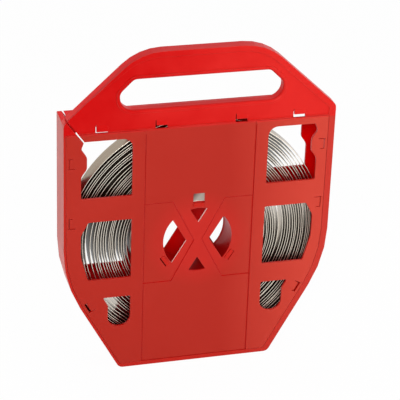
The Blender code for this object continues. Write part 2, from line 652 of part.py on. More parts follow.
def front_cover(collection, cutters, openings, mouth):
    """Cover plate: windows, hub brace, recessed centre panel, snap tongues and the lips behind them."""
    back = COVER_FACE + COVER_THICKNESS
    outline = rounded(cover_outline(SEAM_GAP / 2))
    cover = plate("front_cover", [outline], COVER_FACE, back, collection)
    cut(cover, openings)
    cut(cover, mouth)
    panel_bottom = -HUB_HEIGHT + RIM_WIDTH
    for cutter in panel_cutters(COVER_FACE, -1.0, panel_bottom - CUT_REACH, COVER_TOP_RISE + CUT_REACH,
                                "cover", cutters) + groove_cutters(cutters):
        cut(cover, cutter)
    for number, (angle, reach) in enumerate(zip(HUB_HOOK_ANGLES, HUB_SLOT_REACHES), 1):
        inner = DRUM_RADIUS - DRUM_WALL / 2 - FIT_GAP
        x, z = radial(angle, inner + reach / 2)
        size = (reach, 4 * COVER_THICKNESS, HUB_HOOK_WIDTH + 2 * FIT_GAP)
        cut(cover, block(f"hub_slot_{number}_cutter", (x, COVER_FACE, z), size, math.radians(angle), cutters))
    for number, (x, z, angle) in enumerate(side_catch_places(), 1):
        add_side_catch(cover, number, x, z, angle, cutters)
    for number, place in enumerate(TOP_LIP_PLACES, 1):
        add_lip(cover, f"top_lip_{number}", (place, COVER_TOP_RISE), math.pi / 2, CATCH_LIP_HEIGHT,
                CATCH_WIDTH - 2 * CATCH_SLIT, cutters)
    return cover


def add_lip(cover, name, place, angle, reach, width, cutters):
    """A lip behind the cover's edge at a place (x, z), reaching outwards past the edge in one direction."""
    outward = Vector((math.cos(angle), math.sin(angle)))
    back = COVER_FACE + COVER_THICKNESS
    far = back + FIT_GAP + CATCH_LIP_THICKNESS
    foot_middle = Vector(place) - outward * (SEAM_GAP + CATCH_LIP_HEIGHT / 2)
    foot_near = back - COVER_THICKNESS / 3
    foot_far = far - CATCH_LIP_THICKNESS / 2
    foot_size = (CATCH_LIP_HEIGHT - 3 * FIT_GAP, foot_far - foot_near, width - 2 * FIT_GAP)
    foot_centre = (foot_middle.x, (foot_near + foot_far) / 2, foot_middle.y)
    join(cover, block(f"{name}_foot", foot_centre, foot_size, angle, cutters))
    reach_middle = Vector(place) + outward * (reach - FIT_GAP - CATCH_LIP_HEIGHT) / 2
    join(cover, block(name, (reach_middle.x, far - CATCH_LIP_THICKNESS / 2, reach_middle.y),
                      (reach + FIT_GAP + CATCH_LIP_HEIGHT, CATCH_LIP_THICKNESS, width), angle, cutters))


def add_side_catch(cover, number, x, z, angle, cutters):
    """A spring tongue freed by one upright and two crossing slits, with a lip that reaches behind the rim."""
    across = Vector((-math.sin(angle), math.cos(angle)))
    inward = Vector((-math.cos(angle), -math.sin(angle)))
    margin = SIDE_CATCH_MARGIN
    width = SLOPE_CATCH_SLIT if z < 0.0 else CATCH_SLIT
    through = 4 * COVER_THICKNESS

    def slit(name, along, start, end, thickness):
        """Cut from start to end inwards of the edge, at a place along it."""
        middle = Vector((x, z)) + across * along + inward * (start + end) / 2
        cut(cover, block(f"{name}_{number}_cutter", (middle.x, COVER_FACE, middle.y),
                         (end - start, through, thickness), angle, cutters))

    half = (SIDE_CATCH_HEIGHT - CATCH_SLIT) / 2
    slit("upright_slit", 0.0, margin, margin + width, SIDE_CATCH_HEIGHT)
    slit("high_slit", half, margin - CATCH_SLIT, SIDE_CATCH_DEPTH, CATCH_SLIT)
    slit("low_slit", -half, margin + width / 2, margin + SIDE_CATCH_TAIL, CATCH_SLIT)
    add_lip(cover, f"side_lip_{number}", (x, z), angle, SIDE_LIP_REACH,
            SIDE_CATCH_HEIGHT - 2 * CATCH_SLIT, cutters)


def strap_coil(collection):
    """The banding as one turned ring; grooves on both ends show the bundles of turns."""
    outer = CASE_HALF_WIDTH - CASE_WALL - COIL_CLEARANCE
    half = STRAP_WIDTH / 2
    pitch = (outer - COIL_BORE_RADIUS) / BUNDLE_COUNT
    groove = pitch * BUNDLE_GROOVE_SHARE
    end = []
    for number in range(1, BUNDLE_COUNT):
        middle = COIL_BORE_RADIUS + number * pitch
        inner_lip, outer_lip = middle - groove / 2, middle + groove / 2
        end += [(inner_lip, half), (middle, half - BUNDLE_GROOVE_DEPTH), (outer_lip, half)]
    top = [(outer, half)]
    lower = [(radius, -height) for radius, height in end]
    profile = top + [(outer, -half)] + lower[::-1]
    profile += [(COIL_BORE_RADIUS, -half), (COIL_BORE_RADIUS, half)] + end
    mesh = bpy.data.meshes.new("strap_coil")
    edges = [(index, (index + 1) % len(profile)) for index in range(len(profile))]
    mesh.from_pydata([(radius, 0.0, height) for radius, height in profile], edges, [])
    coil = bpy.data.objects.new("strap_coil", mesh)
    collection.objects.link(coil)
    turn = coil.modifiers.new("turned", "SCREW")
    turn.angle = math.tau
    turn.steps = COIL_SEGMENTS
    turn.render_steps = COIL_SEGMENTS
    turn.use_merge_vertices = True
    turn.merge_threshold = 1e-5
    coil.rotation_euler = (math.pi / 2, 0.0, 0.0)
    coil.location = (0.0, 0.0, HUB_HEIGHT)
    return coil


def build():
    """Model the three pieces and colour them."""
    clear_scene()
    parts = make_collection("banding_dispenser")
    cutters = make_collection("cutters")
    openings = opening_cutter(cutters)
    red = make_material("red_plastic", (0.58, 0.02, 0.012), 0.35, 0.0)
    steel = make_material("stainless_strap", (0.52, 0.49, 0.44), 0.32, 1.0)
    mouth = mouth_cutter(cutters)
    shell = rear_shell(parts, cutters, openings, mouth)
    cover = front_cover(parts, cutters, openings, mouth)
    coil = strap_coil(parts)
    for obj, material in ((shell, red), (cover, red), (coil, steel)):
        obj.data.materials.append(material)
        shade_round(obj)


build()
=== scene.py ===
"""Dressed banding dispenser: a red moulded carry case with a loose coil of steel banding inside.

Lengths are metres in the row frame: the origin is the middle of the foot, the cover faces -Y and Z is up.
Shapes are numpy grids that are worked out as whole arrays, and finishes are node trees written as
Python expressions.
"""

from __future__ import annotations

import json
import logging
import math
from dataclasses import dataclass
from enum import Enum

import bpy
import numpy as np
from mathutils import Matrix, Quaternion

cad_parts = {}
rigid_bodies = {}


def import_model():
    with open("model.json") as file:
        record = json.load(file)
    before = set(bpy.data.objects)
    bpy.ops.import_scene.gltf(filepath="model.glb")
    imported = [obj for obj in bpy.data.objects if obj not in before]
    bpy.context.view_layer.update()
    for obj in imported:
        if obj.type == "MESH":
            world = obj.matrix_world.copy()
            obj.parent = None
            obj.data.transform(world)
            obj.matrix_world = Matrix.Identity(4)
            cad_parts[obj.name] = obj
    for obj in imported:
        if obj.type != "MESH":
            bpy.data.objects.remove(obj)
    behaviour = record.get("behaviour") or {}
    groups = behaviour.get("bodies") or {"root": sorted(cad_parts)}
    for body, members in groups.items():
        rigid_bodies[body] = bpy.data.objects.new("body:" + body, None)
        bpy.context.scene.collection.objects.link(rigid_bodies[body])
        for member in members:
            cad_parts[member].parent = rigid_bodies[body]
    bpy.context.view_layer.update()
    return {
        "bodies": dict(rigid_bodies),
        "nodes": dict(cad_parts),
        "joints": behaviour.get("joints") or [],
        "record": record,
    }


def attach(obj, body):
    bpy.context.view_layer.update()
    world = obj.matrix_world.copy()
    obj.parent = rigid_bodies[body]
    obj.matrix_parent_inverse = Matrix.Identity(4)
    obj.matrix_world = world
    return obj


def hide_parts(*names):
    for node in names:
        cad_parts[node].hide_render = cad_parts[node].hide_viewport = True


LOG = logging.getLogger("banding_dispenser")
MM = 0.001
HUB_HEIGHT = 155.5 * MM
CASE_HALF_WIDTH = 151.5 * MM
COVER_FACE = -19.5 * MM
REAR_FACE = 19.5 * MM
BLACK = (0.0, 0.0, 0.0, 1.0)
WHITE = (1.0, 1.0, 1.0, 1.0)


class Body(Enum):
    """Moving groups of the dispenser, by the names that the record gives them."""

    CASE = "case"
    COIL = "coil"


class Slot(Enum):
    """Material slots of the record."""

    PLASTIC = "red_plastic"
    STRAP = "stainless_strap"


@dataclass(frozen=True)
class Ramp:
    """A straight rise from 0 at start to 1 at end, flat outside; start may be the larger."""

    start: float
    end: float


@dataclass(frozen=True)
class Pattern:
    """Soft noise from 0 to 1: cycles a metre, detail, strength of the fine detail and axis factors."""

    scale: float
    detail: float
    rough: float = 0.5
    stretch: tuple | None = None


class Value:
    """A node output whose Python operators add Math nodes to its board."""

    def __init__(self, board: Board, socket: bpy.types.NodeSocket) -> None:
        """Keep the board and the socket that carries the number."""
        self.board = board
        self.socket = socket

    def _math(self, operation: str, *operands: Value | float, clamp: bool = False) -> Value:
        """Combine numbers with one Math node.

        Args:
            operation: name of the Math node's operation.
            operands: numbers or values, in the node's order.
            clamp: whether the result stays between 0 and 1.

        Returns:
            The node's output as a value.
        """
        settings = {"operation": operation, "use_clamp": clamp}
        return self.board.value("ShaderNodeMath", settings, dict(enumerate(operands)))

    def __add__(self, other: Value | float) -> Value:
        """Sum with a value or number."""
        return self._math("ADD", self, other)

    __radd__ = __add__

    def __sub__(self, other: Value | float) -> Value:
        """Difference with a value or number."""
        return self._math("SUBTRACT", self, other)

    def __rsub__(self, other: Value | float) -> Value:
        """Number minus this value."""
        return self._math("SUBTRACT", other, self)

    def __mul__(self, other: Value | float) -> Value:
        """Product with a value or number."""
        return self._math("MULTIPLY", self, other)

    __rmul__ = __mul__

    def __truediv__(self, other: Value | float) -> Value:
        """Quotient with a value or number."""
        return self._math("DIVIDE", self, other)

    def __pow__(self, other: Value | float) -> Value:
        """This value raised to a power."""
        return self._math("POWER", self, other)

    def clamped(self) -> Value:
        """The value held between 0 and 1."""
        return self._math("ADD", self, 0.0, clamp=True)

    def size(self) -> Value:
        """The value without its sign."""
        return self._math("ABSOLUTE", self)

    def along(self, ramp: Ramp) -> Value:
        """Height of a ramp at this value, from 0 to 1."""
        return ((self - ramp.start) / (ramp.end - ramp.start)).clamped()


class Board:
    """The node tree of one material or world, and the single method that adds any node to it."""

    def __init__(self, owner: bpy.types.Material | bpy.types.World) -> None:
        """Empty the owner's tree."""
        self.owner = owner
        owner.use_nodes = True
        self.tree = owner.node_tree
        self.tree.nodes.clear()

    @classmethod
    def material(cls, name: str) -> Board:
        """The board of a new material."""
        return cls(bpy.data.materials.new(name))

    def node(self, kind: str, settings: dict | None = None, inputs: dict | None = None) -> bpy.types.Node:
        """Add a node, set it up, then fill or link its sockets.

        Args:
            kind: the node's type name.
            settings: properties of the node.
            inputs: socket name or number to a number, colour, Value or output socket.

        Returns:
            The new node.
        """
        node = self.tree.nodes.new(kind)
        for key, setting in (settings or {}).items():
            setattr(node, key, setting)
        for key, given in (inputs or {}).items():
            if isinstance(given, Value):
                self.tree.links.new(given.socket, node.inputs[key])
            elif isinstance(given, bpy.types.NodeSocket):
                self.tree.links.new(given, node.inputs[key])
            else:
                node.inputs[key].default_value = given
        return node

    def value(self, kind: str, settings: dict | None = None, inputs: dict | None = None,
              output: int | str = 0) -> Value:
        """Add a node and wrap one of its outputs."""
        return Value(self, self.node(kind, settings, inputs).outputs[output])

    def place(self) -> bpy.types.NodeSocket:
        """Object coordinates."""
        return self.node("ShaderNodeTexCoord").outputs["Object"]

    def axes(self, vector: bpy.types.NodeSocket) -> tuple[Value, Value, Value]:
        """The three numbers of a vector."""
        outputs = self.node("ShaderNodeSeparateXYZ", None, {0: vector}).outputs
        return Value(self, outputs[0]), Value(self, outputs[1]), Value(self, outputs[2])

    def facing(self, first: bpy.types.NodeSocket, second: bpy.types.NodeSocket | tuple) -> Value:
        """How far two directions agree: their dot product."""
        return self.value("ShaderNodeVectorMath", {"operation": "DOT_PRODUCT"}, {0: first, 1: second},
                          "Value")

    def attribute(self, name: str) -> Value:
        """A number that the mesh stores at each point."""
        return self.value("ShaderNodeAttribute", {"attribute_name": name}, None, "Fac")

    def noise(self, vector: bpy.types.NodeSocket, pattern: Pattern) -> Value:
        """A pattern over a vector, drawn out along some axes where it has a stretch."""
        if pattern.stretch:
            mapping = {"Vector": vector, "Scale": pattern.stretch}
            vector = self.node("ShaderNodeMapping", None, mapping).outputs[0]
        inputs = {"Vector": vector, "Scale": pattern.scale, "Detail": pattern.detail,
                  "Roughness": pattern.rough}
        return self.value("ShaderNodeTexNoise", {"noise_dimensions": "3D"}, inputs)

    def bump(self, height: Value, strength: float, depth: float,
             normal: bpy.types.NodeSocket | None = None) -> bpy.types.NodeSocket:
        """A normal tilted by a height.

        Args:
            height: the height from 0 to 1.
            strength: share of the tilt.
            depth: metres from height 0 to 1.
            normal: the normal that is tilted, if not the surface's own.

        Returns:
            A normal socket.
        """
        inputs = {"Strength": strength, "Distance": depth, "Height": height}
        if normal is not None:
            inputs["Normal"] = normal
        return self.node("ShaderNodeBump", None, inputs).outputs[0]

    def blend(self, share: Value, first: tuple | bpy.types.NodeSocket,
              second: tuple | bpy.types.NodeSocket) -> bpy.types.NodeSocket:
        """A colour between two, by share."""
        mix = self.node("ShaderNodeMix", {"data_type": "RGBA"}, {0: share, 6: first, 7: second})
        return mix.outputs[2]

    def finish(self, inputs: dict) -> bpy.types.Material:
        """Close the tree with a Principled shader.

        Args:
            inputs: sockets of the shader.

        Returns:
            The finished material.
        """
        shader = self.node("ShaderNodeBsdfPrincipled", None, inputs)
        self.node("ShaderNodeOutputMaterial", None, {"Surface": shader.outputs[0]})
        return self.owner


def tint(red: float, green: float, blue: float) -> tuple[float, float, float, float]:
    """A screen colour from 0 to 255 as linear light: the display curve undone channel by channel."""
    share = np.array([red, green, blue]) / 255.0
    linear = np.where(share <= 0.04045, share / 12.92, ((share + 0.055) / 1.055) ** 2.4)
    return (*linear.tolist(), 1.0)


class Spot:
    """What the plastic's tints are worked out from at each point: place, reach from the hub and normals."""

    def __init__(self, board: Board, edge_radius: float) -> None:
        """Add the nodes once.

        Args:
            board: the node tree.
            edge_radius: reach of the rounded normal past an edge.
        """
        self.board = board
        self.place = board.place()
        self.x, self.y, self.z = board.axes(self.place)
        self.above_hub = self.z - HUB_HEIGHT
        self.from_hub = (self.x * self.x + self.above_hub ** 2.0) ** 0.5
        self.sharp = board.node("ShaderNodeNewGeometry").outputs["Normal"]
        self.soft = board.node("ShaderNodeBevel", {"samples": 6}, {"Radius": edge_radius}).outputs[0]
        self.looks_x, self.looks_y, _ = board.axes(self.sharp)


@dataclass(frozen=True)
class Zones:
    """Where the plastic's tints change: ramps of a place in metres or of the share of a normal."""

    # Outer faces
    right_light_side: Ramp = Ramp(30 * MM, 130 * MM)
    brace: Ramp = Ramp(60 * MM, 30 * MM)
    handle: Ramp = Ramp(293 * MM, 295.5 * MM)
    grip_lit_side: Ramp = Ramp(-100 * MM, 80 * MM)
    left_side: Ramp = Ramp(-130 * MM, -145 * MM)
    looks_left: Ramp = Ramp(-0.6, -0.95)
    rear_face: Ramp = Ramp(REAR_FACE - 1.5 * MM, REAR_FACE - 0.5 * MM)
    looks_back: Ramp = Ramp(0.5, 0.9)
    rubbed: Ramp = Ramp(0.38, 0.7)
    # Inner faces
    behind_cover: Ramp = Ramp(COVER_FACE + 3 * MM, COVER_FACE + 5 * MM)
    drum_light: Ramp = Ramp(HUB_HEIGHT - 40 * MM, HUB_HEIGHT - 4 * MM)
    side_room: Ramp = Ramp(50 * MM, 110 * MM)
    rear_wall: Ramp = Ramp(REAR_FACE - 4.3 * MM, REAR_FACE - 3.5 * MM)
    coil_bore: Ramp = Ramp(56 * MM, 60 * MM)
    coil_rim: Ramp = Ramp(149 * MM, 142 * MM)
    within_cover: Ramp = Ramp(COVER_FACE + 1.7 * MM, COVER_FACE + 3 * MM)
    within_rear: Ramp = Ramp(REAR_FACE - 1.5 * MM, REAR_FACE - 3 * MM)
    within_sides: Ramp = Ramp(CASE_HALF_WIDTH - 0.3 * MM, CASE_HALF_WIDTH - 0.9 * MM)
    # Painted highlight on the cut walls of the brace's arms
    looks_like_arm: Ramp = Ramp(0.985, 0.995)
    arm_reach: Ramp = Ramp(0.8 * MM, 0.4 * MM)
    arm_depth: Ramp = Ramp(COVER_FACE + 4 * MM, COVER_FACE + 3 * MM)
    # Grooves and seams, where shade is painted
    looks_forward: Ramp = Ramp(-0.3, -0.8)
    groove_floor: Ramp = Ramp(COVER_FACE + 1.9 * MM, COVER_FACE + 2.1 * MM)
    groove_walls: Ramp = Ramp(COVER_FACE + 0.3 * MM, COVER_FACE + 0.7 * MM)
    groove_depth: Ramp = Ramp(COVER_FACE + 4 * MM, COVER_FACE + 3.5 * MM)


@dataclass(frozen=True)
class MouldedPlastic:
    """Glossy red moulding: its colour drifts gently, light and shade are painted into its tints, edges are
    paler with a painted highlight and some wear, and the skin has a fine grain.
    """

    name: str
    zones: Zones = Zones()
    body: tuple = tint(173, 31, 14)
    # Painted light: the outer red at the right, where more light falls
    lit_from_right: tuple = tint(200, 59, 43)
    brace: tuple = tint(194, 30, 20)
    # Painted light: the handle's red, deep at the left and paler at the right where more light falls
    lit_grip: tuple = tint(214, 34, 29)
    shaded_grip: tuple = tint(195, 0, 0)
    # Painted light: the side rooms inside get a brighter red than the drum
    inner: tuple = tint(219, 0, 0)
    # Painted shadow of the coil on the rear wall
    back: tuple = tint(180, 0, 4)
    # Drum red, lit at the top and painted darker at the foot as shade
    hub: tuple = tint(190, 0, 0)
    shaded_hub: tuple = tint(118, 4, 4)
    # Painted reflection: pale pink sheen of the left side wall
    left_wall_sheen: tuple = tint(221, 117, 107)
    # Painted highlight on edges, with wear where rubbed
    edge: tuple = tint(232, 96, 84)
    glint: tuple = tint(255, 236, 228)
    seep: tuple = tint(58, 0, 0)
    seam: tuple = tint(88, 0, 0)
    # Painted shade in grooves and seams
    groove: tuple = tint(172, 0, 0)
    drift: Pattern = Pattern(7.0, 3.0)
    mottle: Pattern = Pattern(24.0, 4.0)
    rubs: Pattern = Pattern(60.0, 4.0)
    grain: Pattern = Pattern(1400.0, 2.0)
    sink: Pattern = Pattern(22.0, 1.0)
    smear: Pattern = Pattern(48.0, 3.0, stretch=(1.0, 1.0, 0.25))
    grain_strength: float = 0.09
    grain_depth: float = 0.12 * MM
    sink_strength: float = 0.25
    sink_depth: float = 0.6 * MM
    drift_share: float = 0.6
    brace_share: float = 0.8
    mottle_share: float = 1.4
    light_slant: float = 0.4
    left_wall_sheen_share: float = 0.66
    groove_share: float = 0.8
    edge_gain: float = 5.0
    edge_sheen_share: float = 0.35
    rubbed_wear: float = 0.4
    roughness: float = 0.34
    smear_share: float = 0.16
    specular: float = 0.22
    refraction: float = 1.49
    edge_radius: float = 0.5 * MM
    arm_facing: tuple = (-0.857, 0.0, 0.515)
    arm_half_width: float = 11.2 * MM

    def outer(self, spot: Spot) -> bpy.types.NodeSocket:
        """Tint of the outer faces: warmer and paler to the right as painted light from that side, over
        random drift, brighter at the brace, and mottled on the handle, whose red is also painted paler to
        the right.
        """
        board, zones = spot.board, self.zones
        drift = board.noise(spot.place, self.drift) - 0.5
        # Painted light: the tint turns paler toward the right, where more light falls, plus random drift
        right_light_and_drift = (spot.x.along(zones.right_light_side) + drift * self.drift_share).clamped()
        colour = board.blend(right_light_and_drift, self.body, self.lit_from_right)
        colour = board.blend(spot.from_hub.along(zones.brace) * self.brace_share, colour, self.brace)
        mottle = board.noise(spot.place, self.mottle) - 0.5
        # Painted light: the handle turns paler toward the right, plus random mottle
        right_light_and_mottle = (spot.x.along(zones.grip_lit_side) + drift + mottle * self.mottle_share).clamped()
        handle = board.blend(right_light_and_mottle, self.shaded_grip, self.lit_grip)
        return board.blend(spot.z.along(zones.handle), colour, handle)

    def inside(self, spot: Spot) -> bpy.types.NodeSocket:
        """Tint of the inner faces: a drum painted darker at its foot as shade, side rooms painted brighter
        as light, and the wall behind the coil painted darker as the coil's shadow.
        """
        board, zones = spot.board, self.zones
        # Painted light and shade: the drum is lit toward its top and left, darker toward its foot
        drum_light = (spot.z - spot.x * self.light_slant).along(zones.drum_light)
        drum = board.blend(drum_light, self.shaded_hub, self.hub)
        # Painted light: side rooms brighter than the drum
        colour = board.blend(spot.x.size().along(zones.side_room), drum, self.inner)
        # Painted shadow: the rear wall within the coil's ring is darker
        coil_shadow_area = spot.from_hub.along(zones.coil_bore) * spot.from_hub.along(zones.coil_rim)
        return board.blend(spot.y.along(zones.rear_wall) * coil_shadow_area, colour, self.back)

    def gap(self, spot: Spot) -> Value:
        """Share of a groove or seam, where painted shade falls: its floor, and walls behind the cover that
        don't look forward.
        """
        zones = self.zones
        floor = spot.y.along(zones.groove_floor)
        walls = spot.y.along(zones.groove_walls) * (1.0 - spot.looks_y.along(zones.looks_forward))
        near_cover = spot.y.along(zones.groove_depth) * spot.x.size().along(zones.within_sides)
        return (floor + walls).clamped() * near_cover

    def edge_sheen_and_wear(self, spot: Spot) -> Value:
        """Share of pale edges, a painted highlight with real wear: where the rounded normal leaves the sharp
        one, more in rubbed spots.
        """
        edge = ((1.0 - spot.board.facing(spot.soft, spot.sharp)) * self.edge_gain).clamped()
        rubbed = spot.board.noise(spot.place, self.rubs).along(self.zones.rubbed)
        return edge * (self.edge_sheen_share + rubbed * self.rubbed_wear)

    def cut_wall_glint(self, spot: Spot) -> Value:
        """Share of the painted highlight on the brace's cut walls: they face off an arm, half its width from
        its middle.
        """
        zones = self.zones
        wall = spot.board.facing(spot.sharp, self.arm_facing).along(zones.looks_like_arm)
        from_middle = spot.x * self.arm_facing[0] + spot.above_hub * self.arm_facing[2]
        on_arm = (from_middle - self.arm_half_width).size().along(zones.arm_reach)
        return wall * on_arm * spot.y.along(zones.arm_depth)

    def colour(self, spot: Spot, gap: Value) -> bpy.types.NodeSocket:
        """The plastic's colour: outer and inner tints with the left wall's painted sheen, the grooves'
        painted shade, pale edges with a painted highlight and wear, and the cut walls' painted highlight
        over them.

        Args:
            spot: what the tints are worked out from.
            gap: share of a groove or seam.

        Returns:
            A colour socket.
        """
        board, zones = spot.board, self.zones
        rear_outside = spot.looks_y.along(zones.looks_back) * spot.y.along(zones.rear_face)
        behind_cover = spot.y.along(zones.behind_cover) * (1.0 - rear_outside)
        colour = board.blend(behind_cover, self.outer(spot), self.inside(spot))
        # Painted reflection: the left side wall gets a pale pink sheen
        left_wall_sheen_area = spot.looks_x.along(zones.looks_left) * spot.x.along(zones.left_side)
        colour = board.blend(left_wall_sheen_area * self.left_wall_sheen_share, colour, self.left_wall_sheen)
        # Painted shade: grooves and seams turn darker
        colour = board.blend(gap * self.groove_share, colour, self.groove)
        # Painted highlight on every edge, more where rubbed as wear
        colour = board.blend(self.edge_sheen_and_wear(spot) * (1.0 - gap), colour, self.edge)
        # Painted highlight: the brace's cut walls turn near white
        return board.blend(self.cut_wall_glint(spot), colour, self.glint)

    def back_light(self, spot: Spot, gap: Value) -> bpy.types.NodeSocket:
        """Light that the thin red walls let through, as a glow inside the case and in its grooves."""
        board, zones = spot.board, self.zones
        within = spot.y.along(zones.within_cover) * spot.y.along(zones.within_rear)
        colour = board.blend(within * spot.x.size().along(zones.within_sides), BLACK, self.seep)
        return board.blend(gap, colour, self.seam)

    def material(self) -> bpy.types.Material:
        """Build the node tree.

        Returns:
            The plastic's material.
        """
        board = Board.material(self.name)
        spot = Spot(board, self.edge_radius)
        gap = self.gap(spot)
        grain = board.noise(spot.place, self.grain)
        skin = board.bump(grain, self.grain_strength, self.grain_depth, spot.soft)
        sink = board.noise(spot.place, self.sink)
        flow = board.bump(sink, self.sink_strength, self.sink_depth, skin)
        smear = board.noise(spot.place, self.smear) - 0.5
        return board.finish({"Base Color": self.colour(spot, gap),
                             "Roughness": self.roughness + smear * self.smear_share,
                             "IOR": self.refraction, "Specular IOR Level": self.specular,
                             "Emission Color": self.back_light(spot, gap), "Emission Strength": 1.0,
                             "Normal": flow})


@dataclass(frozen=True)
class RolledSteel:
    """Dull rolled banding: long faint streaks on its faces, brighter slit edges that carry a painted
    highlight, painted shade between the turns and a painted glow near the inner tip.
    """

    name: str = "rolled_steel"
    face: tuple = tint(192, 177, 157)
    dark: tuple = tint(160, 146, 126)
    # Painted shade between the turns
    shade_between_turns: tuple = tint(38, 31, 19)
    # Slit edges paler, with a painted highlight
    edge: tuple = tint(246, 238, 223)
    shine: tuple = tint(186, 180, 170)
    streaks: Pattern = Pattern(1.0, 4.0, 0.6, stretch=(6.0, 260.0, 1.0))
    clouds: Pattern = Pattern(1.0, 2.0, stretch=(14.0, 3.0, 1.0))
    streak_share: float = 1.4
    cloud_share: float = 1.6
    roughness: float = 0.2
    streak_roughness: float = 0.14
    rim_roughness: float = 0.16
    sheltered_roughness: float = 0.04
    sheltered_dullness: float = 0.45
    streak_strength: float = 0.15
    streak_depth: float = 0.05 * MM
    tip_slant: float = 1.6
    tip_light: Ramp = Ramp(-4 * MM, 12 * MM)

    def material(self) -> bpy.types.Material:
        """Build the node tree.

        Returns:
            The strap's material.
        """
        board = Board.material(self.name)
        strip = board.node("ShaderNodeUVMap", {"uv_map": "strip"}).outputs[0]
        streaks = board.noise(strip, self.streaks)
        clouds = board.noise(strip, self.clouds)
        rim = board.attribute("slit_edge")
        sheltered = board.attribute("sheltered")
        shade = (streaks - 0.5) * self.streak_share + (clouds - 0.5) * self.cloud_share
        colour = board.blend((shade + 0.5).clamped(), self.dark, self.face)
        # Painted shade: faces that other turns shelter turn dark
        colour = board.blend(sheltered, colour, self.shade_between_turns)
        # Painted highlight on the slit edges
        colour = board.blend(rim, colour, self.edge)
        roughness = self.roughness + (streaks - 0.5) * self.streak_roughness
        roughness = roughness + rim * self.rim_roughness + sheltered * self.sheltered_roughness
        x, y, _ = board.axes(board.place())
        # Painted highlight: the inner tip glows where it faces the light
        toward_light = (x * self.tip_slant - y).along(self.tip_light)
        glow = board.blend(board.attribute("tip") * toward_light * (1.0 - rim), BLACK, self.shine)
        return board.finish({"Base Color": colour, "Roughness": roughness,
                             "Metallic": 1.0 - sheltered * self.sheltered_dullness,
                             "Specular IOR Level": 0.0, "Emission Color": glow, "Emission Strength": 1.0,
                             "Normal": board.bump(streaks, self.streak_strength, self.streak_depth)})


def tube_faces(rows: int, columns: int) -> np.ndarray:
    """Quads of rows of points that close on themselves: each joins two neighbours and the two one row on.

    Faces point outwards where each row runs clockwise, as seen from beyond the last row.

    Args:
        rows: number of rows.
        columns: number of points a row.

    Returns:
        An array of four point numbers a face.
    """
    row, column = np.meshgrid(np.arange(rows - 1), np.arange(columns), indexing="ij")
    following = (column + 1) % columns
    here = row * columns
    above = here + columns
    return np.stack([here + column, above + column, above + following, here + following], -1).reshape(-1, 4)


def mesh_object(name: str, points: np.ndarray, quads: np.ndarray, ends: tuple = ()) -> bpy.types.Object:
    """Put whole arrays into a mesh.

    Args:
        name: the piece's name.
        points: an array of x, y, z rows.
        quads: an array of four point numbers a face.
        ends: further faces, each a sequence of point numbers.

    Returns:
        A linked object at the origin.
    """
    mesh = bpy.data.meshes.new(name)
    totals = np.concatenate([np.full(len(quads), 4), np.array([len(end) for end in ends], int)])
    corners = np.concatenate([quads.ravel(), *[np.asarray(end) for end in ends]])
    mesh.vertices.add(len(points))
    mesh.vertices.foreach_set("co", np.ascontiguousarray(points, np.float32).ravel())
    mesh.loops.add(len(corners))
    mesh.loops.foreach_set("vertex_index", corners.astype(np.int32))
    mesh.polygons.add(len(totals))
    starts = np.concatenate([[0], np.cumsum(totals)[:-1]])
    mesh.polygons.foreach_set("loop_start", starts.astype(np.int32))
    mesh.polygons.foreach_set("loop_total", totals.astype(np.int32))
    mesh.update(calc_edges=True)
    mesh.validate()
    mesh.shade_smooth()
    obj = bpy.data.objects.new(name, mesh)
    bpy.context.scene.collection.objects.link(obj)
    return obj


def dress(obj: bpy.types.Object, material: bpy.types.Material, body: Body) -> None:
    """Give a piece its finish and the body that it rides on."""
    obj.data.materials.clear()
    obj.data.materials.append(material)
    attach(obj, body.value)


@dataclass(frozen=True)
class Wave:
    """One cosine of the gap between turns: cycles a turn, lobes round the hub, strength and phase."""

    often: float
    lobes: int
    strength: float
    phase: float


